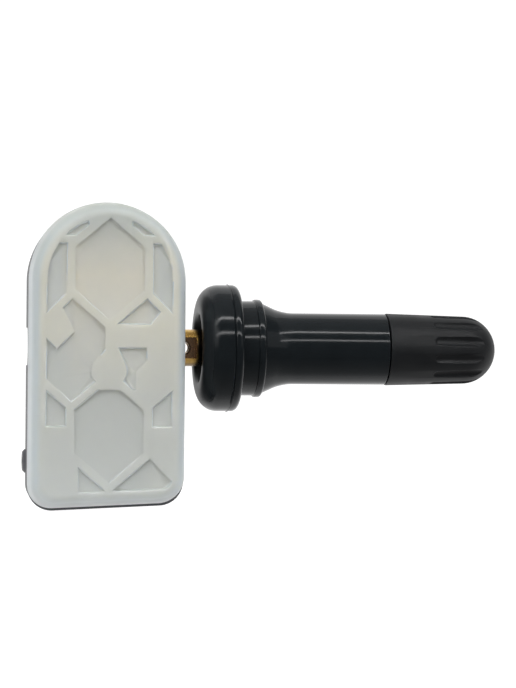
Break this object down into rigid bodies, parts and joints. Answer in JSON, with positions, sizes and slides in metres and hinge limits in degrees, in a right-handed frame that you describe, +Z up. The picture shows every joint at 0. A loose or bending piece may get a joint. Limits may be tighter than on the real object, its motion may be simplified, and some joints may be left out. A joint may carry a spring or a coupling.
{
  "type": "tyre pressure sensor",
  "caption": "Snap-in tyre pressure sensor: rounded flat case with a ribbed milky lid, screwed to the brass tail of a black rubber tyre valve that ends in a fluted screw cap.",
  "frame": {"origin": "on the axis of the valve, at the middle of the wheel's wall where it sits in the rim groove", "axes": "+X along the valve towards its cap, -Y out of the face of the lid, +Z up the case to its arched end"},
  "size_m": [0.0721, 0.0194, 0.046],
  "materials": {
    "lid_plastic": "milky, lets light through, satin",
    "case_plastic": "black, glass filled",
    "cap_plastic": "black, satin",
    "rubber": "black, glossy as moulded",
    "seal_rubber": "black, matte",
    "silicone": "grey, soft",
    "foam": "dark grey, open cells",
    "brass": "turned and milled, bright",
    "steel": "plated, bright",
    "nickel": "nickel plated strip",
    "copper": "enamelled wire",
    "board": "green, coated",
    "chip_plastic": "black, moulded",
    "ferrite": "dark grey, sintered",
    "ceramic": "tan, fired"
  },
  "bodies": {
    "sensor": {"housing": "case_plastic", "lid": "lid_plastic", "circuit_board": "board", "battery_cell": "steel", "battery_pad": "foam", "battery_tab_positive": "nickel", "battery_tab_negative": "nickel", "sensor_chip": "chip_plastic", "port_seal": "silicone", "coil_core": "ferrite", "coil_winding": "copper", "crystal": "nickel", "chip_components": "ceramic", "antenna": "nickel", "fixing_screw": "steel", "brass_insert": "brass", "rubber_stem": "rubber", "core_body": "brass", "core_gasket": "seal_rubber", "core_spring": "steel"},
    "cap_seal": {"cap_seal": "seal_rubber"},
    "cap": {"cap": "cap_plastic"},
    "pin": {"core_pin": "brass", "core_washer": "seal_rubber"}
  },
  "joints": [
    {"name": "cap_lift", "type": "slide", "parent": "sensor", "child": "cap_seal", "axis": [1, 0, 0], "range_m": [0, 0.00397]},
    {"name": "cap_turn", "type": "hinge", "parent": "cap_seal", "child": "cap", "pos_m": [0.03, 0, 0], "axis": [1, 0, 0], "range_deg": [0, 1800]},
    {"name": "pin_press", "type": "slide", "parent": "sensor", "child": "pin", "axis": [-1, 0, 0], "range_m": [0, 0.0015], "stiffness_N_per_m": 500, "springref_m": -0.002, "deforming": ["core_spring"]}
  ],
  "couplings": [
    {"joint": "cap_turn", "follows": "cap_lift", "rad_per_m": 7913.3}
  ]
}
